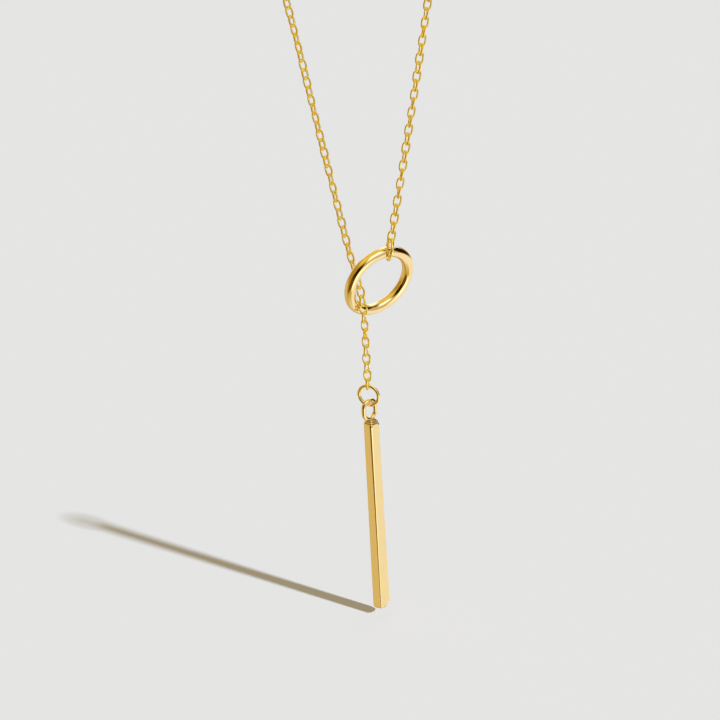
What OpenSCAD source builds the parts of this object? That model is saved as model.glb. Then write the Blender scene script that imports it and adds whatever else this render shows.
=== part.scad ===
// Y necklace of the lariat kind: one end of a fine cable chain carries a plain ring,
// the other end runs through that ring and ends in a square bar drop.
// The nape is the origin, +Z is up and the wearer's front faces -Y.

/* [Chain] */
// Length of one oval link over its ends
link_len = 2.45; // [2.4:0.05:2.8]
// Width of one oval link
link_w = 1.6; // [1.55:0.05:1.8]
// Thickness of the wire that the links are bent from
link_wire = 0.34; // [0.28:0.02:0.38]
// Clear play where one link sits in the next
link_play = 0.12; // [0.12:0.01:0.2]
// Most that a link is turned out of its quarter turn, in degrees
link_sway = 9; // [0:1:12]
// Links of the right strand that are modelled one by one
right_links = 38; // [20:1:42]
// Links of the left strand, through the ring and down to the drop, modelled one by one
left_links = 53; // [36:1:56]
// How far the tail hangs below the place where it crosses the big ring
tail_drop = 15; // [8:0.5:24]
// Clear play between the tail and the big ring that it passes
crossing_play = 0.18; // [0.13:0.01:0.2]

/* [Ring] */
// Outer diameter of the big ring
ring_od = 14.5; // [14:0.5:17]
// Thickness of the big ring's round wire
ring_wire = 2; // [1.4:0.1:2.2]

/* [Jump rings] */
// Outer diameter of the two jump rings
jump_od = 4.4; // [4.2:0.1:5.2]
// Thickness of the jump rings' wire
jump_wire = 0.6; // [0.4:0.05:0.7]
// Clear play between a jump ring and what it hooks
hook_play = 0.16; // [0.13:0.01:0.2]

/* [Bar] */
// Side of the square bar
bar_side = 2.2; // [1.6:0.1:2.6]
// Length of the bar below its cap
bar_len = 36.8; // [20:1:50]
// Bevel round the bar's lower end
bar_bevel = 0.3; // [0.2:0.05:0.5]
// How far the one ground corner of the lower end is cut back, up the edge and along both faces
foot_cut = 1.25; // [0.6:0.05:1.6]
// Height of the cap that tapers from the bar to its eye
cap_h = 0.7; // [0.5:0.1:1.2]
// Side of the cap's flat top
cap_top = 1.3; // [1:0.1:1.5]

/* [Eye] */
// Width of the oval wire eye on the bar
eye_w = 3.5; // [3.4:0.1:4.2]
// Height of the oval wire eye, with what is sunk in the cap
eye_h = 4.4; // [4.2:0.1:5]
// How deep the eye's wire is sunk in the cap
eye_sunk = 0.25; // [0.15:0.05:0.3]
// Thickness of the eye's wire
eye_wire = 0.8; // [0.6:0.05:0.85]
// How far to the left of the bar's middle the eye is soldered
eye_off = 0.25; // [0:0.05:0.3]

/* [Hidden] */

// Where the chain's tail crosses in front of the big ring's wire
crossing = [-1.8, -132, -220.5];
// Route of the right strand up from its jump ring
right_rise = [[8.5, -125, -186], [12.9, -120, -165]];
// Route of the left strand up from the crossing, through the ring and behind it
left_rise = [
    [-2, -131.95, -217.5], [-2.5, -131.2, -214.2], [-3.6, -130, -210.2],
    [-8.2, -125, -186], [-12.2, -120, -165]
];
// Route of both strands on up to the nape, for the right side
shoulder_route = [
    [18, -113.5, -141], [25, -105, -113], [35, -93, -82], [46, -77, -54], [55, -58, -31],
    [58, -38, -16], [51, -18, -7], [30, -4, -2], [0, 0, 0]
];
// Middle of the wearer's neck, which the flat side of the chain faces
neck_mid = [0, -62, 0];

// How the big ring hangs: its turn about the vertical and its lean forward at the top
ring_azimuth = 33;
ring_dip = 15.5;
// Places on the ring, in degrees round from its level line on the viewer's right
joint_at = 76;
crossing_at = 230;
// Turn of each strand's end link, which its jump ring crosses, and of the bar about the vertical
left_turn = 67;
right_turn = 6;
bar_turn = 40;

// Centre lines of the wires
ring_r = (ring_od - ring_wire) / 2;
jump_r = (jump_od - jump_wire) / 2;
eye_r = (eye_w - eye_wire) / 2;
eye_straight = eye_h - eye_w;
// Steps between the wires' centre lines where two pieces hook
link_in_jump = (link_wire + jump_wire) / 2 + hook_play;
jump_in_ring = (ring_wire + jump_wire) / 2 + hook_play;
jump_in_eye = (eye_wire + jump_wire) / 2 + hook_play;
ring_clear = (ring_wire + link_w) / 2 + crossing_play;

// Corners of one link round its oval and round its wire, and how full the oval is
link_bends = 12;
wire_sides = 6;
oval_power = 0.77;
// Step of the wave that turns each link a little out of its quarter turn
sway_step = 137;
// How far one link stands from the next, and the length of a link's centre line
pitch = link_len - 2 * link_wire - link_play;
reach = link_len - link_wire;
// Fineness of the plain stretch round the neck, of the curve, and of round wire
tube_rings = 76;
tube_sides = 8;
curve_steps = 12;
round_fine = 96;
wire_fine = 32;

function unit(v) = v / norm(v);
// A direction of the upright ring, dipped and turned as the real ring hangs
function dipped(v) = [v.x, v.y * cos(ring_dip) - v.z * sin(ring_dip),
    v.y * sin(ring_dip) + v.z * cos(ring_dip)];
function turned(v) = [v.x * cos(ring_azimuth) - v.y * sin(ring_azimuth),
    v.x * sin(ring_azimuth) + v.y * cos(ring_azimuth), v.z];
function on_ring(angle) = turned(dipped([cos(angle), 0, sin(angle)]));

// The ring is placed by its crossing with the tail, and the right strand ends on its joint
ring_facing = turned(dipped([0, -1, 0]));
ring_mid = crossing - ring_clear * ring_facing - ring_r * on_ring(crossing_at);
joint_point = ring_mid + ring_r * on_ring(joint_at);
// The right strand's pull runs from that joint through its jump ring to its first link
pull = unit(right_rise[0] - joint_point);
ring_jump_mid = joint_point + (jump_r - jump_in_ring) * pull;
right_end = ring_jump_mid + (jump_r - link_in_jump) * pull;
// The tail hangs plumb, with the jump ring and the bar's eye below it
left_end = crossing - [0, 0, tail_drop];
drop_jump_mid = left_end + [0, 0, link_in_jump - jump_r];
eye_top = drop_jump_mid + [0, 0, jump_in_eye - jump_r];
bar_top = eye_top + eye_off * [cos(bar_turn), sin(bar_turn), 0]
    - [0, 0, 2 * eye_r + eye_straight + eye_wire / 2 - eye_sunk + cap_h];

// A smooth curve through the chosen points, and the length along it
function curve_point(a, b, c, d, t) = 0.5 * (2 * b + (c - a) * t + (2 * a - 5 * b + 4 * c - d) * t * t
    + (3 * b - a - 3 * c + d) * t * t * t);
function curve(p) = [
    for (i = [0 : len(p) - 2], k = [0 : curve_steps - 1])
        curve_point(p[max(i - 1, 0)], p[i], p[i + 1], p[min(i + 2, len(p) - 1)], k / curve_steps),
    p[len(p) - 1]
];
function lengths(p) = [
    for (i = 0, s = 0; i < len(p); s = s + norm(p[min(i + 1, len(p) - 1)] - p[i]), i = i + 1) s
];
// A strand's table gives X, Y and Z by the length from its loose end
function table_of(p) = let (s = lengths(p))
    [for (axis = [0 : 2]) [for (i = [0 : len(p) - 1]) [s[i], p[i][axis]]]];
function at(table, s) = [for (axis = [0 : 2]) lookup(s, table[axis])];
function length_of(table) = table[0][len(table[0]) - 1][0];
function mirrored(p) = [for (q = p) [-q.x, q.y, q.z]];

right_table = table_of(curve(concat([right_end], right_rise, shoulder_route)));
left_table = table_of(curve(concat([left_end, crossing], left_rise, mirrored(shoulder_route))));
right_length = length_of(right_table);
left_length = length_of(left_table);

// Directions across the chain: away from the neck, and level with it
function across(p, d) = let (out = unit([p.x - neck_mid.x, p.y - neck_mid.y, 0])) unit(cross(out, d));

// Middle, long axis and flat side of link number k on a strand
function link_frame(table, k, first_turn) = let (
    low = at(table, k * pitch), high = at(table, k * pitch + reach), mid = (low + high) / 2,
    d = unit(high - low), side = across(mid, d),
    turn = first_turn + 90 * (k % 2) + link_sway * sin(sway_step * k))
    [mid, d, cos(turn) * side + sin(turn) * cross(d, side)];
left_end_flat = link_frame(left_table, 0, left_turn)[2];
right_end_flat = link_frame(right_table, 0, right_turn)[2];

// Corners of link number k, round its oval and round its wire
function link_corners(table, k, first_turn) = let (
    f = link_frame(table, k, first_turn), mid = f[0], d = f[1], flat = f[2],
    edge = cross(d, flat), a = reach / 2, b = (link_w - link_wire) / 2)
    [for (i = [0 : link_bends - 1]) let (
        t = 360 * i / link_bends, x = a * bulge(cos(t)), y = b * bulge(sin(t)),
        n = unit([b * cos(t), a * sin(t)]))
        for (j = [0 : wire_sides - 1]) let (
            u = 360 * j / wire_sides, r = link_wire / 2 * cos(u), h = link_wire / 2 * sin(u))
            mid + (x + r * n.x) * d + (y + r * n.y) * flat + h * edge];
function bulge(c) = sign(c) * pow(abs(c), oval_power);
function link_faces(k) = let (first = k * link_bends * wire_sides) [
    for (i = [0 : link_bends - 1], j = [0 : wire_sides - 1]) let (
        a = first + i * wire_sides, b = first + (i + 1) % link_bends * wire_sides, n = (j + 1) % wire_sides)
        each [[a + j, a + n, b + n], [a + j, b + n, b + j]]];

// Length along a strand that its modelled links take, with play at the last one
function links_reach(count) = (count - 1) * pitch + reach + link_wire / 2 + link_play;

module links(table, count, first_turn) {
    corners = [for (k = [0 : count - 1]) each link_corners(table, k, first_turn)];
    faces = [for (k = [0 : count - 1]) each link_faces(k)];
    color("goldenrod") polyhedron(points = corners, faces = faces);
}

// A round wire ring that stands in the XZ plane
module wire_ring(radius, wire) {
    rotate([90, 0, 0]) rotate_extrude($fn = round_fine)
        translate([radius, 0]) circle(d = wire, $fn = wire_fine);
}

// A jump ring that faces along the flat side of the link it hooks, and hangs along the pull
module jump_ring(mid, link_flat, along) {
    level = unit(cross(link_flat, along));
    facing = cross(along, level);
    placed = [for (i = [0 : 2]) [level[i], facing[i], along[i], mid[i]]];
    color("gold") multmatrix(placed) wire_ring(jump_r, jump_wire);
}

module left_chain() {
    links(left_table, left_links, left_turn);
}

module right_chain() {
    links(right_table, right_links, right_turn);
}

// The plain stretch from the last modelled link on the left, round the nape, to the one on the right
module nape_chain() {
    left_run = left_length - links_reach(left_links);
    run = left_run + right_length - links_reach(right_links);
    function spot(s) = s < left_run ? at(left_table, left_length - left_run + s)
        : at(right_table, right_length - (s - left_run));
    stops = [for (i = [0 : tube_rings - 1]) spot(run * i / (tube_rings - 1))];
    corners = [for (i = [0 : tube_rings - 1]) let (
        d = unit(stops[min(i + 1, tube_rings - 1)] - stops[max(i - 1, 0)]),
        side = across(stops[i], d), out = cross(d, side))
        for (j = [0 : tube_sides - 1]) let (u = 360 * j / tube_sides)
            stops[i] + link_w / 2 * (cos(u) * side + sin(u) * out)];
    walls = [for (i = [0 : tube_rings - 2], j = [0 : tube_sides - 1]) let (
        a = i * tube_sides, b = a + tube_sides, n = (j + 1) % tube_sides)
        each [[a + j, b + j, b + n], [a + j, b + n, a + n]]];
    ends = [[for (j = [0 : tube_sides - 1]) j],
        [for (j = [tube_sides - 1 : -1 : 0]) (tube_rings - 1) * tube_sides + j]];
    color("goldenrod") polyhedron(points = corners, faces = concat(walls, ends));
}

module ring() {
    color("gold") translate(ring_mid) rotate([ring_dip, 0, ring_azimuth]) wire_ring(ring_r, ring_wire);
}

module ring_jump_ring() {
    jump_ring(ring_jump_mid, right_end_flat, pull);
}

module drop_jump_ring() {
    jump_ring(drop_jump_mid, left_end_flat, [0, 0, 1]);
}

// The oval wire loop, with the lowest point of its centre line at the origin
module eye() {
    for (end = [0, 1]) translate([0, 0, eye_r + end * eye_straight])
        rotate([90, 0, 0]) rotate(180 - 180 * end) rotate_extrude(angle = 180, $fn = round_fine)
            translate([eye_r, 0]) circle(d = eye_wire, $fn = wire_fine);
    for (side = [-1, 1])
        translate([side * eye_r, 0, eye_r]) cylinder(d = eye_wire, h = eye_straight, $fn = wire_fine);
}

// A block under the slanting plane that takes off the lower end's ground corner
module foot_corner() {
    steepness = atan(sqrt(2));
    block = 4 * foot_cut;
    translate([bar_side / 2, -bar_side / 2, foot_cut - bar_len]) rotate(-45) rotate([0, -steepness, 0])
        translate([-block / 2, -block / 2, -block]) cube(block);
}

// Square bar with a tapered cap and the eye soldered on it
module bar_drop() {
    half = bar_side / 2;
    foot = half - bar_bevel;
    outline = [[-foot, -bar_len], [foot, -bar_len], [half, bar_bevel - bar_len], [half, 0],
        [cap_top / 2, cap_h], [-cap_top / 2, cap_h], [-half, 0], [-half, bar_bevel - bar_len]];
    color("gold") translate(bar_top) rotate(bar_turn) {
        difference() {
            intersection_for(quarter = [0, 90])
                rotate(quarter) rotate([90, 0, 0]) linear_extrude(bar_side, center = true) polygon(outline);
            foot_corner();
        }
        translate([-eye_off, 0, cap_h + eye_wire / 2 - eye_sunk]) eye();
    }
}

left_chain();
right_chain();
nape_chain();
ring();
ring_jump_ring();
drop_jump_ring();
bar_drop();
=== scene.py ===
# %% [markdown]
# # A ring-and-bar lariat, dressed in Blender
# The necklace is a fine cable chain with a plain ring on one end and a square bar on the other.
# The bar's end is drawn through the ring, so the two strands make a Y and no clasp is needed.
# The measured solids come from the frame. Here each gets a finer shape of its own size, a gold
# finish and the light that it was photographed in. Lengths are written in millimetres.

# %% Load the measured model
import math

import bmesh
import bpy
from mathutils import Matrix, Vector


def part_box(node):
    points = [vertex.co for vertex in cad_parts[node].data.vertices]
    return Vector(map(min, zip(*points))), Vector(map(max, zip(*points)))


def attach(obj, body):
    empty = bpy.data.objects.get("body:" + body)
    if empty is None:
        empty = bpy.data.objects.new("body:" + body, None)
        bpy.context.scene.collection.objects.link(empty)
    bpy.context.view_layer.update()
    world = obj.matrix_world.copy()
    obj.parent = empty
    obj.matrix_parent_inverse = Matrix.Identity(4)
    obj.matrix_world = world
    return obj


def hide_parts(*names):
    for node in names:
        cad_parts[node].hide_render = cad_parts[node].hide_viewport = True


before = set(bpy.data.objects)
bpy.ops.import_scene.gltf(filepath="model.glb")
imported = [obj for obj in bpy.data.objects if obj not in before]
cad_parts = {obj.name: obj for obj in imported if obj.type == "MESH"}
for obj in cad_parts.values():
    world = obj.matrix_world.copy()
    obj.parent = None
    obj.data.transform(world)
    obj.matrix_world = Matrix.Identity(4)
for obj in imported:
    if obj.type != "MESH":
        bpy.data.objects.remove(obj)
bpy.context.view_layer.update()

mm = 0.001
print("solids:", sorted(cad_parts))

# %% [markdown]
# ## The camera
# The photograph was taken from well above, with a lens so long that its lines hardly converge.
# A short lens close up would need the whole object bent to fit it, so the camera stands far away
# instead and looks down by 25 degrees. A tail that hangs plumb leans by 3.3 degrees in the
# photograph, so the camera is rolled by as much.

# %% Camera at the photograph's angle
picture_width = 129.7 * mm
looking_down = math.radians(25)
lean = math.radians(3.3)
lens = 700.0
sensor = 36.0
aim = Vector((-2.99, -130.0, -230.58)) * mm

back = Vector((0, -math.cos(looking_down), math.sin(looking_down)))
distance = picture_width * lens / sensor
camera_data = bpy.data.cameras.new("photo_camera")
camera_data.lens = lens
camera_data.sensor_width = sensor
camera_data.clip_start = 0.1
camera_data.clip_end = 50.0
camera = bpy.data.objects.new("photo_camera", camera_data)
bpy.context.scene.collection.objects.link(camera)
camera.matrix_world = (
    Matrix.Translation(aim + back * distance)
    @ (-back).to_track_quat("-Z", "Y").to_matrix().to_4x4()
    @ Matrix.Rotation(-lean, 4, "Z")
)
bpy.context.scene.camera = camera
print("camera stands", round(distance, 2), "m away")

# %% [markdown]
# ## Writing node trees as sums
# Materials, the studio's light and the chain are all made of nodes. Wiring them by hand hides the
# sums that they do, so one small class wraps a socket and lets + - * / build the Math nodes.
# Every other kind of node comes from one method, which sets its options before its sockets.

# %% A socket that does arithmetic, and a tree that adds nodes
class Value:
    """One output of a node, which sums and products can be written with."""

    def __init__(self, tree, socket):
        self.tree = tree
        self.socket = socket

    def maths(self, operation, *others):
        return self.tree.add("ShaderNodeMath", {"operation": operation}, self, *others)

    def __add__(self, other):
        return self.maths("ADD", other)

    def __sub__(self, other):
        return self.maths("SUBTRACT", other)

    def __mul__(self, other):
        return self.maths("MULTIPLY", other)

    def __truediv__(self, other):
        return self.maths("DIVIDE", other)

    def __pow__(self, other):
        return self.maths("POWER", other)

    def __mod__(self, other):
        return self.maths("FLOORED_MODULO", other)

    def __radd__(self, other):
        return self + other

    def __rmul__(self, other):
        return self * other

    def __rsub__(self, other):
        return self.tree.number(other).maths("SUBTRACT", self)

    def __rtruediv__(self, other):
        return self.tree.number(other).maths("DIVIDE", self)

    def __neg__(self):
        return self * -1.0

    def sin(self):
        return self.maths("SINE")

    def cos(self):
        return self.maths("COSINE")

    def abs(self):
        return self.maths("ABSOLUTE")

    def sign(self):
        return self.maths("SIGN")

    def between(self, low, high):
        """0 below low, 1 above high, and an even ramp from one to the other."""
        return self.tree.add(
            "ShaderNodeMapRange", {"clamp": True}, self,
            **{"From Min": low, "From Max": high, "To Min": 0.0, "To Max": 1.0},
        )


class Tree:
    """A node tree that nodes are added to, with their options first and their sockets after."""

    def __init__(self, nodes_of):
        self.nodes = nodes_of.nodes
        self.links = nodes_of.links

    def put(self, socket, value):
        if isinstance(value, Value):
            self.links.new(value.socket, socket)
        else:
            socket.default_value = value

    def add(self, kind, options=None, *values, out=0, **named):
        node = self.nodes.new(kind)
        for name, option in (options or {}).items():
            setattr(node, name, option)
        inputs = [socket for socket in node.inputs if socket.enabled]
        for socket, value in zip(inputs, values):
            self.put(socket, value)
        for name, value in named.items():
            self.put(next(s for s in inputs if s.name == name.replace("_", " ")), value)
        outputs = [socket for socket in node.outputs if socket.enabled]
        if isinstance(out, str):
            return Value(self, next(s for s in outputs if s.name == out))
        return Value(self, outputs[out]) if outputs else None

    def number(self, value):
        return self.add("ShaderNodeMath", {"operation": "ADD"}, value, 0.0)

    def vector(self, operation, *values, out=0):
        return self.add("ShaderNodeVectorMath", {"operation": operation}, *values, out=out)

    def join(self, x, y, z):
        return self.add("ShaderNodeCombineXYZ", {}, x, y, z)

    def split(self, vector):
        node = self.nodes.new("ShaderNodeSeparateXYZ")
        self.put(node.inputs[0], vector)
        return [Value(self, socket) for socket in node.outputs]

    def given(self):
        """The named inputs of a node group, by name."""
        node = self.nodes.new("NodeGroupInput")
        return {socket.name: Value(self, socket) for socket in node.outputs if socket.name}

    def noise(self, place, scale, detail=2.0, roughness=0.5):
        return self.add(
            "ShaderNodeTexNoise", {}, place, Scale=scale, Detail=detail, Roughness=roughness, out=0
        )

    def blend(self, factor, first, second):
        """A colour between two others."""
        return self.add("ShaderNodeMix", {"data_type": "RGBA"}, factor, first, second)


# %% [markdown]
# ## Gold, four finishes
# All of it is brass with a coat of yellow gold. A metal has no colour of its own apart from what
# it mirrors, so each finish is a deep yellow Base Color with a high Metallic and a low Roughness.
# Handling leaves faint smears and polishing leaves a soft ripple: slow noise moves the roughness
# and the colour a little, and a shallow bump bends the mirrored light the same way.
# A pixel of the picture is half as wide as a link's wire, far too coarse for its hundreds of tiny
# sparks. Their sum is a steady glow, so the chain and the jump rings are a little less metallic
# than the ring and the bar, which lets the lamp brighten them evenly.

# %% A gold finish, with its smears and ripple
smears_per_metre, tone_share = 420.0, 0.7


def gold(name, colour, pale, roughness, ripple, ripple_size,
         toned=False, painted_darkening=None, along=None, metallic=1.0):
    """Polished gold, from colour to pale by slow noise, with a bump that is ripple metres deep.

    A toned piece has an attribute that lightens some links more than others. Painted darkening
    reads an attribute that is 1 where painted shade or a painted dim reflection deepens the
    colour. Along gives the bump a grain of its own.
    """
    material = bpy.data.materials.new(name)
    material.use_nodes = True
    tree = Tree(material.node_tree)
    surface = next(node for node in tree.nodes if node.type == "BSDF_PRINCIPLED")
    place = tree.add("ShaderNodeTexCoord", {}, out="Object")
    smears = tree.noise(place, smears_per_metre, detail=3.0)
    tree.put(surface.inputs["Metallic"], metallic)
    shade = smears.between(0.3, 0.7)
    if toned:
        tone = tree.add("ShaderNodeAttribute", {"attribute_name": "tone"}, out="Fac")
        shade = shade * (1 - tone_share) + tone * tone_share
    metal = tree.blend(shade, (*colour, 1.0), (*pale, 1.0))
    # Painted shade or painted dim reflection: a deeper colour where the attribute is 1
    if painted_darkening:
        painted_dark = tree.add("ShaderNodeAttribute", {"attribute_name": "painted_dark"}, out="Fac")
        metal = tree.blend(painted_dark, metal, (*painted_darkening, 1.0))
    tree.put(surface.inputs["Base Color"], metal)
    tree.put(surface.inputs["Roughness"], roughness * (0.75 + shade * 0.5))
    grain = along(tree, place) if along else tree.noise(place, 1.0 / ripple_size, detail=2.0)
    bump = tree.add("ShaderNodeBump", {}, Strength=1.0, Distance=ripple, Height=grain, out="Normal")
    tree.put(surface.inputs["Normal"], bump)
    return material


# The outer edge of each link's wire gets a deeper gold, a painted reflection of the dim room beyond
# it
chain_gold = gold(
    "chain_gold", (1.0, 0.80, 0.14), (1.0, 0.98, 0.44), 0.06, 0.01 * mm, 1.0 * mm,
    toned=True, painted_darkening=(0.88, 0.56, 0.04), metallic=0.78,
)
ring_gold = gold("ring_gold", (0.98, 0.80, 0.40), (1.0, 0.84, 0.48), 0.04, 0.02 * mm, 3.0 * mm)
jump_gold = gold(
    "jump_ring_gold", (1.0, 0.80, 0.24), (1.0, 0.85, 0.32), 0.05, 0.01 * mm, 1.2 * mm, metallic=0.93,
)
print("finishes:", [m.name for m in (chain_gold, ring_gold, jump_gold)])

# %% [markdown]
# The bar was drawn through a square hole, which leaves fine lines along its whole length. Noise
# that is squeezed across the bar and stretched along it gives such lines: the coordinates are
# multiplied before the noise reads them, by much less along the bar than across it. The dark
# colour is painted shade in the grooves of its cap.

# %% The bar's gold, with lines along its length
def drawn_lines(tree, place):
    stretched = tree.vector("MULTIPLY", place, (1.0, 1.0, 0.02))
    return tree.noise(stretched, 9000.0, detail=3.0, roughness=0.6)


# The cap's grooves get a dark colour, painted shade
bar_gold = gold(
    "bar_gold", (0.99, 0.80, 0.40), (1.0, 0.83, 0.45), 0.2, 0.006 * mm, 1.0 * mm,
    painted_darkening=(0.22, 0.10, 0.01), along=drawn_lines,
)
print("finish:", bar_gold.name)

# %% [markdown]
# ## Sizes and the route of the chain
# The two strands come down from the nape, a hand's width apart at the shoulders and nearly
# together at the ring. A few chosen points give the route, and a smooth curve passes through all
# of them. Its two ends are found from the jump rings, which stand where they were measured.
# The solids' links are kept a tenth of a millimetre apart. The drawn wire is fuller than theirs
# by 0.04 mm, as the photograph shows it, and still touches nothing.

# %% Where the chain runs
link_length, link_width, link_wire, link_play, fuller = 2.45, 1.6, 0.34, 0.12, 0.04
jump_outer, jump_wire, hook_play = 4.4, 0.6, 0.16
neck_middle = Vector((0, -62, 0))
pitch = link_length - 2 * link_wire - link_play
reach = link_length - link_wire
jump_radius = (jump_outer - jump_wire) / 2
link_in_jump = (link_wire + jump_wire) / 2 + hook_play


def middle(node):
    """The middle of a solid's box, in millimetres."""
    low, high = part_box(node)
    return (Vector(low) + Vector(high)) / (2 * mm)


shoulder = [Vector(point) for point in (
    (18, -113.5, -141), (25, -105, -113), (35, -93, -82), (46, -77, -54), (55, -58, -31),
    (58, -38, -16), (51, -18, -7), (30, -4, -2), (0, 0, 0),
)]
right_rise = [Vector(point) for point in ((8.5, -125, -186), (12.9, -120, -165))]
left_rise = [Vector(point) for point in (
    (-1.8, -132, -220.5), (-2, -131.95, -217.5), (-2.5, -131.2, -214.2), (-3.6, -130, -210.2),
    (-8.2, -125, -186), (-12.2, -120, -165),
)]
ring_middle = middle("ring")
ring_jump_middle = middle("ring_jump_ring")
drop_jump_middle = middle("drop_jump_ring")
pull = (right_rise[0] - ring_jump_middle).normalized()
right_end = ring_jump_middle + pull * (jump_radius - link_in_jump)
left_end = drop_jump_middle + Vector((0, 0, jump_radius - link_in_jump))


def smooth(points, steps=12):
    """Points on the smooth curve that passes through the given ones, a Catmull-Rom spline."""
    last = len(points) - 1
    curve = []
    for i in range(last):
        a, b = points[max(i - 1, 0)], points[i]
        c, d = points[i + 1], points[min(i + 2, last)]
        for t in (k / steps for k in range(steps)):
            curve.append((2 * b + (c - a) * t + (2 * a - 5 * b + 4 * c - d) * t ** 2
                          + (3 * b - a - 3 * c + d) * t ** 3) / 2)
    return curve + [points[last]]


def length_of(points):
    return sum((b - a).length for a, b in zip(points, points[1:]))


right_route = smooth([right_end] + right_rise + shoulder)
left_route = smooth([left_end] + left_rise + [Vector((-p.x, p.y, p.z)) for p in shoulder])
whole_route = left_route + right_route[-2::-1]
print("strands, mm:", round(length_of(left_route), 1), round(length_of(right_route), 1))

# %% [markdown]
# ## The cable chain
# The chain is 386 oval links, hooked into each other and each a quarter turn from the next.
# Placing them by hand is hopeless, and a twisted tube would show no holes. A rule describes them
# all, so Geometry Nodes thread them: link number k spans a short length of the route, turns a
# quarter with every step and sways a little, as links do that have play.
# One link is bent inside the same tree, from a circle that is pulled into an oval and given a
# round wire, so that its length, width and wire stay open to change. The oval's sides are fuller
# than an ellipse's, like a link that is bent round a flat pin. It has only 72 faces, because it
# is repeated so often and is a few pixels long.

# %% Nodes that thread links along a route
def links_tree():
    group = bpy.data.node_groups.new("links_on_a_route", "GeometryNodeTree")
    for name, kind in (
        ("Route", "NodeSocketGeometry"), ("Links", "NodeSocketInt"), ("Start", "NodeSocketFloat"),
        ("Pitch", "NodeSocketFloat"), ("Link Length", "NodeSocketFloat"),
        ("Link Width", "NodeSocketFloat"), ("Link Wire", "NodeSocketFloat"),
        ("First Number", "NodeSocketInt"), ("First Turn", "NodeSocketFloat"),
        ("Turn Per Link", "NodeSocketFloat"), ("Sway", "NodeSocketFloat"),
        ("Neck", "NodeSocketVector"), ("Seed", "NodeSocketInt"), ("Finish", "NodeSocketMaterial"),
    ):
        group.interface.new_socket(name=name, in_out="INPUT", socket_type=kind)
    group.interface.new_socket(name="Chain", in_out="OUTPUT", socket_type="NodeSocketGeometry")
    tree = Tree(group)
    given = tree.given()

    # One link, flat on the XY plane and long in X
    bends, wire_sides, fullness = 12, 6, 0.77
    bend = tree.add("GeometryNodeInputIndex") * (2 * math.pi / bends)
    half_length = (given["Link Length"] - given["Link Wire"]) * 0.5
    half_width = (given["Link Width"] - given["Link Wire"]) * 0.5
    across, aside = bend.cos(), bend.sin()
    oval = tree.join(
        across.sign() * across.abs() ** fullness * half_length,
        aside.sign() * aside.abs() ** fullness * half_width, 0.0,
    )
    circle = tree.add("GeometryNodeCurvePrimitiveCircle", {}, Resolution=bends, Radius=1.0)
    wire = tree.add(
        "GeometryNodeCurvePrimitiveCircle", {}, Resolution=wire_sides,
        Radius=given["Link Wire"] * 0.5,
    )
    bent = tree.add("GeometryNodeSetPosition", {}, circle, Position=oval)
    link = tree.add("GeometryNodeCurveToMesh", {}, bent, wire)
    link = tree.add("GeometryNodeSetShadeSmooth", {}, link, Shade_Smooth=True)

    # Painted dim reflection: 0 on the wire's crest, where out_of_oval is 1, more towards the outside
    x, y, z = tree.split(tree.add("GeometryNodeInputPosition"))
    power = 1 / fullness
    out_of_oval = (x / half_length).abs() ** power + (y / half_width).abs() ** power
    link = tree.add(
        "GeometryNodeStoreNamedAttribute", {"data_type": "FLOAT", "domain": "POINT"}, link,
        Name="painted_dark", Value=out_of_oval.between(1.05, 1.3),
    )

    # Each link's two ends on the route, its middle and its long direction
    route = tree.add("GeometryNodeMeshToCurve", {}, given["Route"])
    number = tree.add("GeometryNodeInputIndex")
    begin = given["Start"] + number * given["Pitch"]

    def spot(length):
        return tree.add(
            "GeometryNodeSampleCurve", {"mode": "LENGTH"}, route, Length=length, out="Position"
        )

    low, high = spot(begin), spot(begin + half_length * 2.0)
    place = tree.vector("SCALE", tree.vector("ADD", low, high), 0.5)
    along = tree.vector("NORMALIZE", tree.vector("SUBTRACT", high, low))

    # Level with the neck, and away from it
    from_neck = tree.vector("MULTIPLY", tree.vector("SUBTRACT", place, given["Neck"]), (1, 1, 0))
    side = tree.vector("NORMALIZE", tree.vector("CROSS_PRODUCT", from_neck, along))
    outward = tree.vector("CROSS_PRODUCT", along, side)

    # A quarter turn with every link, and a sway that never repeats
    count = number + given["First Number"]
    turn = (given["First Turn"] + number * given["Turn Per Link"] + (count % 2.0) * math.pi / 2
            + given["Sway"] * (count * math.radians(137)).sin())
    flat = tree.vector(
        "ADD", tree.vector("SCALE", side, turn.cos()), tree.vector("SCALE", outward, turn.sin())
    )
    rotation = tree.add(
        "FunctionNodeAxesToRotation", {"primary_axis": "X", "secondary_axis": "Y"}, along, flat
    )
    points = tree.add("GeometryNodePoints", {}, given["Links"], place)
    chain = tree.add("GeometryNodeInstanceOnPoints", {}, points, Instance=link, Rotation=rotation)
    tone = tree.add(
        "FunctionNodeRandomValue", {"data_type": "FLOAT"}, 0.0, 1.0, Seed=given["Seed"]
    )
    chain = tree.add(
        "GeometryNodeStoreNamedAttribute", {"data_type": "FLOAT", "domain": "INSTANCE"}, chain,
        Name="tone", Value=tone,
    )
    chain = tree.add("GeometryNodeRealizeInstances", {}, chain)
    chain = tree.add("GeometryNodeSetMaterial", {}, chain, Material=given["Finish"])
    tree.put(tree.nodes.new("NodeGroupOutput").inputs[0], chain)
    return group


threading = links_tree()
print("chain tree:", len(threading.nodes), "nodes")

# %% [markdown]
# Three runs of links are threaded with the same tree: the left strand through the ring, the right
# strand, and the long run round the nape between them. The nape's links take up what is left, so
# their spacing is a few thousandths of a millimetre wider. Their number is odd and the run is
# twisted by 9.7 degrees in all, so that its last link hooks into the right strand a quarter turn
# away. The route is a plain line of points, which the nodes turn into a curve and then into links.

# %% The chain's three runs
sway = 9.0


def shown(mesh, finish):
    """A piece in the scene that has this mesh and one finish."""
    piece = bpy.data.objects.new(mesh.name, mesh)
    mesh.materials.clear()
    mesh.materials.append(finish)
    bpy.context.scene.collection.objects.link(piece)
    print(piece.name, "has", len(mesh.polygons), "faces")
    return piece


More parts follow.
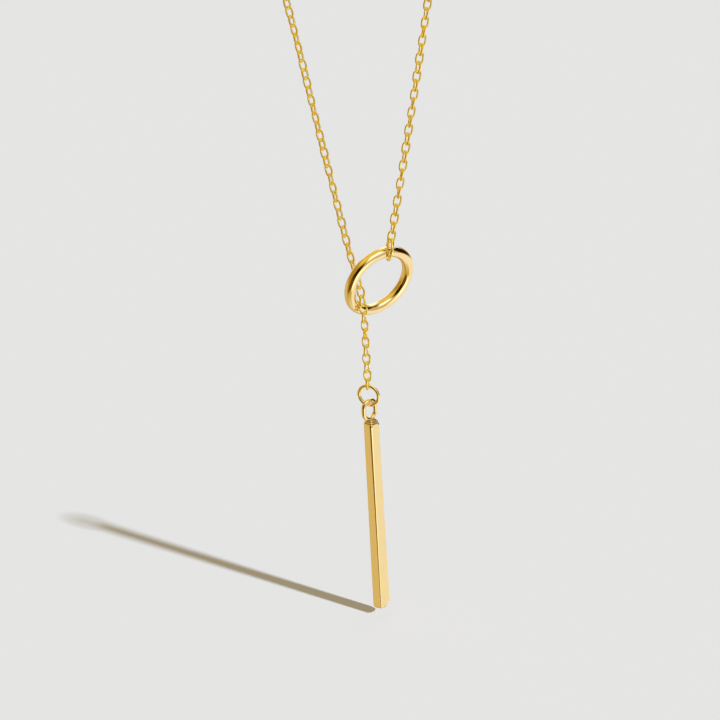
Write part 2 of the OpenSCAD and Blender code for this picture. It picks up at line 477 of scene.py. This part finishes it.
def threaded(name, route, links, start, spacing, first_number, first_turn, twist, seed):
    """A plain mesh of links along a route, all lengths in millimetres and turns in degrees."""
    line = bpy.data.meshes.new(name + "_line")
    steps = [(i, i + 1) for i in range(len(route) - 1)]
    line.from_pydata([point * mm for point in route], steps, [])
    source = bpy.data.objects.new(name + "_route", line)
    bpy.context.scene.collection.objects.link(source)
    modifier = source.modifiers.new("links", "NODES")
    modifier.node_group = threading
    wanted = {
        "Links": links, "Start": start * mm, "Pitch": spacing * mm,
        "Link Length": (link_length + fuller) * mm, "Link Width": (link_width + fuller) * mm,
        "Link Wire": (link_wire + fuller) * mm,
        "First Number": first_number, "First Turn": math.radians(first_turn),
        "Turn Per Link": math.radians(twist), "Sway": math.radians(sway),
        "Neck": list(neck_middle * mm), "Seed": seed, "Finish": chain_gold,
    }
    for item in threading.interface.items_tree:
        if item.in_out == "INPUT" and item.name in wanted:
            modifier[item.identifier] = wanted[item.name]
    seen = source.evaluated_get(bpy.context.evaluated_depsgraph_get())
    mesh = bpy.data.meshes.new_from_object(seen)
    mesh.name = name
    source.modifiers.remove(modifier)
    bpy.data.objects.remove(source)
    return shown(mesh, chain_gold)


left_count, right_count, left_turn, right_turn, turn_to_meet = 53, 38, 67.0, 6.0, 9.7
loop = length_of(whole_route)
free_run = loop - (left_count + right_count) * pitch - reach
nape_count = math.floor(free_run / pitch) // 2 * 2 + 1
nape_spacing = free_run / (nape_count - 1)
nape_twist = turn_to_meet / (nape_count - 1)
left_links = threaded("left_links", left_route, left_count, 0.0, pitch, 0, left_turn, 0.0, 3)
right_links = threaded("right_links", right_route, right_count, 0.0, pitch, 0, right_turn, 0.0, 5)
nape_links = threaded(
    "nape_links", whole_route, nape_count, left_count * pitch, nape_spacing,
    left_count, left_turn, nape_twist, 7,
)
print("loop", round(loop, 1), "mm, nape links", nape_count, "every", round(nape_spacing, 4), "mm")

# %% [markdown]
# ## Round wire for the rings
# The big ring and the two jump rings are round wire bent in a circle. A torus would do for the big
# ring, but a jump ring is cut from a coil and closed with pliers, so a hair-thin seam stays where
# its ends meet, and the eye on the bar is an oval. One small helper lays circles of points round
# any flat path, closes it or caps its ends, and so serves all of them.

# %% A round wire along a flat path
def wire_mesh(name, path, facing, thickness, sides, closed=True):
    """Round wire along points in millimetres that lie flat, seen from the facing direction."""
    shape = bmesh.new()
    last = len(path) - 1
    upright = thickness / 2 * facing
    sections = []
    for i, point in enumerate(path):
        before = path[i - 1] if closed or i else path[0]
        after = path[(i + 1) % len(path)] if closed or i < last else path[last]
        sideways = thickness / 2 * facing.cross(after - before).normalized()
        sections.append([
            shape.verts.new((point + math.cos(a) * sideways + math.sin(a) * upright) * mm)
            for a in (2 * math.pi * k / sides for k in range(sides))
        ])
    for i in range(len(path) if closed else last):
        near, far = sections[i], sections[(i + 1) % len(path)]
        for k in range(sides):
            n = (k + 1) % sides
            shape.faces.new((near[k], near[n], far[n], far[k])).smooth = True
    if not closed:
        shape.faces.new(sections[0])
        shape.faces.new(sections[-1])
    bmesh.ops.recalc_face_normals(shape, faces=shape.faces)
    mesh = bpy.data.meshes.new(name)
    shape.to_mesh(mesh)
    shape.free()
    return mesh


def arc(centre, across, up, radius, begin, end, steps):
    """Points on a circle's part, from begin to end degrees."""
    angles = (math.radians(begin + (end - begin) * i / steps) for i in range(steps + 1))
    return [centre + radius * (math.cos(a) * across + math.sin(a) * up) for a in angles]


# %% [markdown]
# The big ring hangs from the right strand and leans against the tail, which turns it 33 degrees
# about the vertical and lets its top lean forward. It is the piece that mirrors the room best, so
# it gets many more points than its size asks for, or its streaks would break up into facets.
# Its middle comes from the measured solid.

# %% The big ring
ring_outer, ring_wire, ring_turned, ring_leaning = 14.5, 2.0, 33, 15.5
ring_hang = (Matrix.Rotation(math.radians(ring_turned), 3, "Z")
             @ Matrix.Rotation(math.radians(ring_leaning), 3, "X"))
ring_across, ring_facing, ring_up = ring_hang.col
circle = arc(ring_middle, ring_across, ring_up, (ring_outer - ring_wire) / 2, 0, 360, 128)[:-1]
big_ring = shown(wire_mesh("big_ring", circle, ring_facing, ring_wire, 40), ring_gold)

# %% [markdown]
# Each jump ring faces along the flat side of the chain link that it hooks, so the link's wire
# crosses it squarely. The seam of the lower one sits at its right, as the photograph hints.

# %% The two jump rings
seam = 0.08


def link_flat(route, first_turn):
    """The flat direction of the first link on a route."""
    along = (point_at(route, reach) - route[0]).normalized()
    from_neck = (route[0] + point_at(route, reach)) / 2 - neck_middle
    from_neck.z = 0
    side = from_neck.cross(along).normalized()
    angle = math.radians(first_turn)
    return math.cos(angle) * side + math.sin(angle) * along.cross(side)


def point_at(route, length):
    """The point that lies a given length along a route."""
    for a, b in zip(route, route[1:]):
        step = (b - a).length
        if length <= step:
            return a + (b - a) * (length / step)
        length -= step
    return route[-1]


def jump_ring(name, centre, hooked, along, seam_at):
    """A ring whose ends meet at an angle, squarely across the link that it hooks."""
    level = hooked.cross(along).normalized()
    facing = along.cross(level)
    half_gap = math.degrees(seam / 2 / jump_radius)
    begin, end = seam_at + half_gap, seam_at + 360 - half_gap
    path = arc(centre, level, along, jump_radius, begin, end, 72)
    return shown(wire_mesh(name, path, facing, jump_wire, 20, closed=False), jump_gold)


right_flat, left_flat = link_flat(right_route, right_turn), link_flat(left_route, left_turn)
plumb = Vector((0, 0, 1))
upper_jump = jump_ring("upper_jump_ring", ring_jump_middle, right_flat, pull, 200)
lower_jump = jump_ring("lower_jump_ring", drop_jump_middle, left_flat, plumb, -12)

# %% [markdown]
# ## The bar
# The drop is square brass, 2.2 mm thick, with softened edges, sharper at the foot than at the top.
# The top narrows to a cap with three fine ridges, an oval wire eye is soldered on, a quarter of a
# millimetre off the middle, and the lower end is bevelled, with one corner ground off. The saw
# left it a little out of square, which lowers the far side of the foot by 0.4 mm.
# It could be a cube with a Bevel modifier, but the cap and the foot need their own slopes, so the
# bar is laid up from rounded squares at chosen heights, like slices. Extra slices near both ends
# keep the long faces straight in the reflections.

# %% The bar's body
bar_side, bar_length, bar_bevel, foot_cut, foot_slant = 2.2, 36.8, 0.3, 1.25, 0.4
cap_height, cap_top, edge_round, foot_round = 0.7, 1.3, 0.45, 0.16
eye_width, eye_height, eye_wire, eye_sunk, eye_off = 3.5, 4.4, 0.8, 0.25, 0.25
eye_radius = (eye_width - eye_wire) / 2
eye_straight = eye_height - eye_width
jump_in_eye = (eye_wire + jump_wire) / 2 + hook_play
eye_top = drop_jump_middle.z + jump_in_eye - jump_radius
eye_low = eye_top - 2 * eye_radius - eye_straight
bar_turn = Matrix.Rotation(math.radians(40), 3, "Z")
eye_across, eye_facing, eye_up = bar_turn.col
eye_middle = Vector((drop_jump_middle.x, drop_jump_middle.y, eye_low + eye_radius))
bar_top = eye_middle + eye_across * eye_off
bar_top.z = eye_low - eye_wire / 2 + eye_sunk - cap_height


corner_steps = 5


def rounded_square(half, corner, height):
    """The points of one slice, a square of twice half with rounded corners."""
    points = []
    for side in range(4):
        quarter = Matrix.Rotation(math.radians(90 * side), 3, "Z")
        for step in range(corner_steps + 1):
            a = math.radians(90 * step / corner_steps)
            x = half - corner * (1 - math.cos(a))
            y = half - corner * (1 - math.sin(a))
            points.append(quarter @ Vector((x, y, height)))
    return points


# Each slice has its height above the bar's top, its half width, its corner and its painted shade
half, foot, tip = bar_side / 2, bar_side / 2 - bar_bevel, cap_top / 2
slices = [
    (-bar_length, foot - 0.05, foot_round, 0), (0.03 - bar_length, foot + 0.03, foot_round, 0),
    (bar_bevel - 0.08 - bar_length, half - 0.08, foot_round, 0),
    (bar_bevel - bar_length, half - 0.02, foot_round, 0),
    (bar_bevel + 0.1 - bar_length, half, foot_round, 0), (1.7 - bar_length, half, foot_round, 0),
    (-0.6, half, edge_round, 0), (-0.08, half, edge_round, 0), (-0.02, half - 0.05, edge_round, 0),
    (0.05, 0.90, 0.36, 0.8), (0.12, 0.88, 0.36, 0.8), (0.16, 0.98, 0.4, 0), (0.3, 0.97, 0.4, 0),
    (0.34, 0.74, 0.32, 0.3), (0.4, 0.72, 0.32, 0.3), (0.43, 0.82, 0.34, 0), (0.56, 0.80, 0.34, 0),
    (0.59, tip - 0.01, 0.3, 0), (0.63, tip - 0.01, 0.3, 0), (0.66, tip + 0.03, 0.3, 0),
    (cap_height, tip - 0.03, 0.3, 0),
]
body = bmesh.new()
# The painted shade of each slice is stored on its points
painted_dark = body.verts.layers.float.new("painted_dark")
rounds = []
for height, width, corner, painted_darkening in slices:
    rounds.append([body.verts.new(point) for point in rounded_square(width, corner, height)])
    for vertex in rounds[-1]:
        vertex[painted_dark] = painted_darkening
for (low_slice, low), (high_slice, high) in zip(zip(slices, rounds), zip(slices[1:], rounds[1:])):
    for k in range(len(low)):
        n = (k + 1) % len(low)
        wall = body.faces.new((low[k], low[n], high[n], high[k]))
        between_corners = k % (corner_steps + 1) == corner_steps
        wall.smooth = not (between_corners and low_slice[1] == high_slice[1])
body.faces.new(rounds[0][::-1])
body.faces.new(rounds[-1])

# The ground corner, and then the slant of the foot
ground = Vector((-1, 1, 1)).normalized()
cut = bmesh.ops.bisect_plane(
    body, geom=body.verts[:] + body.edges[:] + body.faces[:],
    plane_co=(half, -half, foot_cut - bar_length), plane_no=ground, clear_inner=True,
)
rim = [item for item in cut["geom_cut"] if isinstance(item, bmesh.types.BMEdge)]
bmesh.ops.edgenet_fill(body, edges=rim)
for vertex in body.verts:
    if vertex.co.z < foot_cut - bar_length:
        deep = (foot_cut - bar_length - vertex.co.z) / foot_cut
        vertex.co.z -= foot_slant * deep * (vertex.co.y + half) / bar_side
bmesh.ops.recalc_face_normals(body, faces=body.faces)
bar_place = Matrix.Translation(bar_top) @ bar_turn.to_4x4()
bmesh.ops.transform(body, matrix=Matrix.Scale(mm, 4) @ bar_place, verts=body.verts)
bar_mesh = bpy.data.meshes.new("bar_body")
body.to_mesh(bar_mesh)
body.free()
bar_body = shown(bar_mesh, bar_gold)

# %% [markdown]
# The eye is soldered to the cap, so wire and bar are one piece of metal. Two overlapping meshes
# would look the same from outside, but a Boolean union melts them together and leaves no hidden
# wire inside the cap.

# %% The eye, joined to the bar
high_turn = eye_middle + Vector((0, 0, eye_straight))
oval = (arc(high_turn, eye_across, eye_up, eye_radius, 0, 180, 28)
        + arc(eye_middle, eye_across, eye_up, eye_radius, 180, 360, 28))
eye = shown(wire_mesh("bar_eye", oval, eye_facing, eye_wire, 24), bar_gold)
joint = bar_body.modifiers.new("solder", "BOOLEAN")
joint.operation = "UNION"
joint.solver = "EXACT"
joint.object = eye
seen = bar_body.evaluated_get(bpy.context.evaluated_depsgraph_get())
joined = bpy.data.meshes.new_from_object(seen)
joined.name = "square_bar"
square_bar = shown(joined, bar_gold)
for spare in (bar_body, eye):
    bpy.data.objects.remove(spare)

# %% [markdown]
# ## Which piece stands for which solid
# Every finished piece takes the place of its measured solid, which is hidden and given the
# piece's finish, and rides on the part that moves it. The photograph shows the bar's shadow
# alone, because the thinner pieces hang so high that theirs melt away, so only the bar throws one
# here.

# %% Put the pieces in the frame
for piece, node, part, finish in (
    (left_links, "left_chain", "necklace", "chain_gold"),
    (right_links, "right_chain", "necklace", "chain_gold"),
    (nape_links, "nape_chain", "necklace", "chain_gold"),
    (big_ring, "ring", "necklace", "ring_gold"),
    (upper_jump, "ring_jump_ring", "necklace", "jump_ring_gold"),
    (lower_jump, "drop_jump_ring", "drop_ring", "jump_ring_gold"),
    (square_bar, "bar_drop", "bar", "bar_gold"),
):
    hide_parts(node)
    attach(piece, part)
    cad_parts[node].data.materials.clear()
    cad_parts[node].data.materials.append(piece.data.materials[0])
    print(piece.name, "stands for", node, "and rides on", part)
for thin in (left_links, right_links, nape_links, big_ring, upper_jump, lower_jump):
    thin.visible_shadow = False

# %% [markdown]
# ## The studio
# The necklace hangs 1.6 mm above a pale table, in light from the front right that is low enough
# to throw the bar's long shadow to the back left. A sun lamp gives that shadow its straight
# edges, and its angle softens them with distance. The rest of the room fills the shadow warmly.
# Neither the lamp nor the table shows in the gold, because the room below has its own of both.

# %% Table, key light and room
def plain(name, colour, roughness):
    material = bpy.data.materials.new(name)
    material.use_nodes = True
    surface = next(node for node in material.node_tree.nodes if node.type == "BSDF_PRINCIPLED")
    surface.inputs["Base Color"].default_value = (*colour, 1.0)
    surface.inputs["Roughness"].default_value = roughness
    surface.inputs["Specular IOR Level"].default_value = 0.0
    return material


bar_lifted = 1.6
floor_height = bar_top.z - bar_length - bar_lifted
table = bpy.data.meshes.new("table")
table.from_pydata([(x, y, floor_height * mm) for x, y in ((-4, -4), (4, -4), (4, 4), (-4, 4))],
                  [], [(0, 1, 2, 3)])
floor = shown(table, plain("pale_table", (0.8, 0.8, 0.79), 0.9))

key_turn, key_height = math.radians(49.3), math.radians(30.3)
to_key = Vector((math.sin(key_turn) * math.cos(key_height),
                 -math.cos(key_turn) * math.cos(key_height), math.sin(key_height)))
key_data = bpy.data.lights.new("key", "SUN")
key_data.energy = 4.72
key_data.angle = math.radians(2.2)
key_data.color = (0.743, 0.828, 1.0)
key = bpy.data.objects.new("key", key_data)
key.matrix_world = to_key.to_track_quat("Z", "Y").to_matrix().to_4x4()
bpy.context.scene.collection.objects.link(key)
key.visible_glossy = False
floor.visible_glossy = False
print("key light from", round(math.degrees(key_turn)), "degrees right of the front")

# %% [markdown]
# Gold shows what stands round it more than its own colour, so the room matters as much as the
# metal. The ring in the photograph works like a round mirror, and its streaks tell where things
# stood: a bright window at the front right, a pale table on that side, bright corners behind,
# warm half-light on the left, and two dark shapes near eye level. An image of a room would bring
# details that this room didn't have, so each becomes a soft patch in the sky of the scene, given
# by its angle right of the front, its width, its level, its height and the softness of its edge.
# Only the gold sees the patches. The table gets an even, warm fill light, and the lens a pale wall.

# %% The room that the gold mirrors
world = bpy.data.worlds.new("room")
world.use_nodes = True
bpy.context.scene.world = world
room = Tree(world.node_tree)
glow = next(node for node in room.nodes if node.type == "BACKGROUND")
seen_by_gold = room.add("ShaderNodeLightPath", {}, out="Is Glossy Ray")
seen_by_lens = room.add("ShaderNodeLightPath", {}, out="Is Camera Ray")
east, north, rise = room.split(room.add("ShaderNodeTexCoord", {}, out="Generated"))
height = rise.maths("ARCSINE") * (180 / math.pi)


def patch(seen, colour, turned, width, level, tall, soft=12.0):
    """A soft patch of light: where its middle is and how wide and tall it is, in degrees."""
    away = math.radians(turned)
    ahead = north * -math.cos(away) + east * math.sin(away)
    aside = north * math.sin(away) + east * math.cos(away)
    off_side = aside.maths("ARCTAN2", ahead).abs() * (180 / math.pi)
    off_level = (height - level).abs()
    inside_width = 1.0 - off_side.between(width / 2 - soft / 2, width / 2 + soft / 2)
    inside_height = 1.0 - off_level.between(tall / 2 - soft / 2, tall / 2 + soft / 2)
    return room.blend(inside_width * inside_height, seen, (*colour, 1.0))


def sky_band(seen, colour, low, high):
    return room.blend(height.between(low, high), seen, (*colour, 1.0))


mirrored = sky_band((0.90, 0.76, 0.62, 1.0), (0.58, 0.43, 0.115), -88, -52)
mirrored = sky_band(mirrored, (0.44, 0.27, 0.04), -50, -30)
mirrored = sky_band(mirrored, (0.82, 0.64, 0.17), 32, 55)
for colour, turned, width, level, tall, soft in (
    ((0.94, 0.89, 0.85), 100, 130, -56, 76, 8),  # pale table, right
    ((0.71, 0.56, 0.29), -112, 64, -26, 44, 16),  # far side of the table, left
    ((0.62, 0.51, 0.34), 50, 90, 8, 44, 16),  # wall at the front right
    ((1.25, 1.34, 1.52), 38, 58, 44, 38, 10),  # window
    ((1.42, 1.38, 1.26), 28, 44, -30, 36, 8),  # table below the window
    ((1.20, 1.26, 1.42), 150, 64, 32, 44, 10),  # bright corner, behind right
    ((1.08, 1.04, 1.02), -168, 48, 10, 42, 12),  # bright corner, behind left
    ((0.13, 0.066, 0.009), -22, 60, -13, 60, 12),  # dim table edge, front
    ((0.018, 0.007, 0.001), -15, 46, 13, 38, 8),  # camera and who stands behind it
    ((0.02, 0.008, 0.002), 114, 58, 8, 44, 8),  # dark shape, right
    ((0.14, 0.075, 0.02), 90, 24, 42, 30, 12),  # dim edge above it
):
    mirrored = patch(mirrored, colour, turned, width, level, tall, soft)
fill, pale_wall = (0.418, 0.351, 0.228, 1.0), (0.79, 0.79, 0.77, 1.0)
lighting = room.blend(seen_by_gold, fill, mirrored)
room.put(glow.inputs["Color"], room.blend(seen_by_lens, lighting, pale_wall))
bpy.context.scene.view_settings.view_transform = "Standard"
print("room:", len(room.nodes), "nodes")
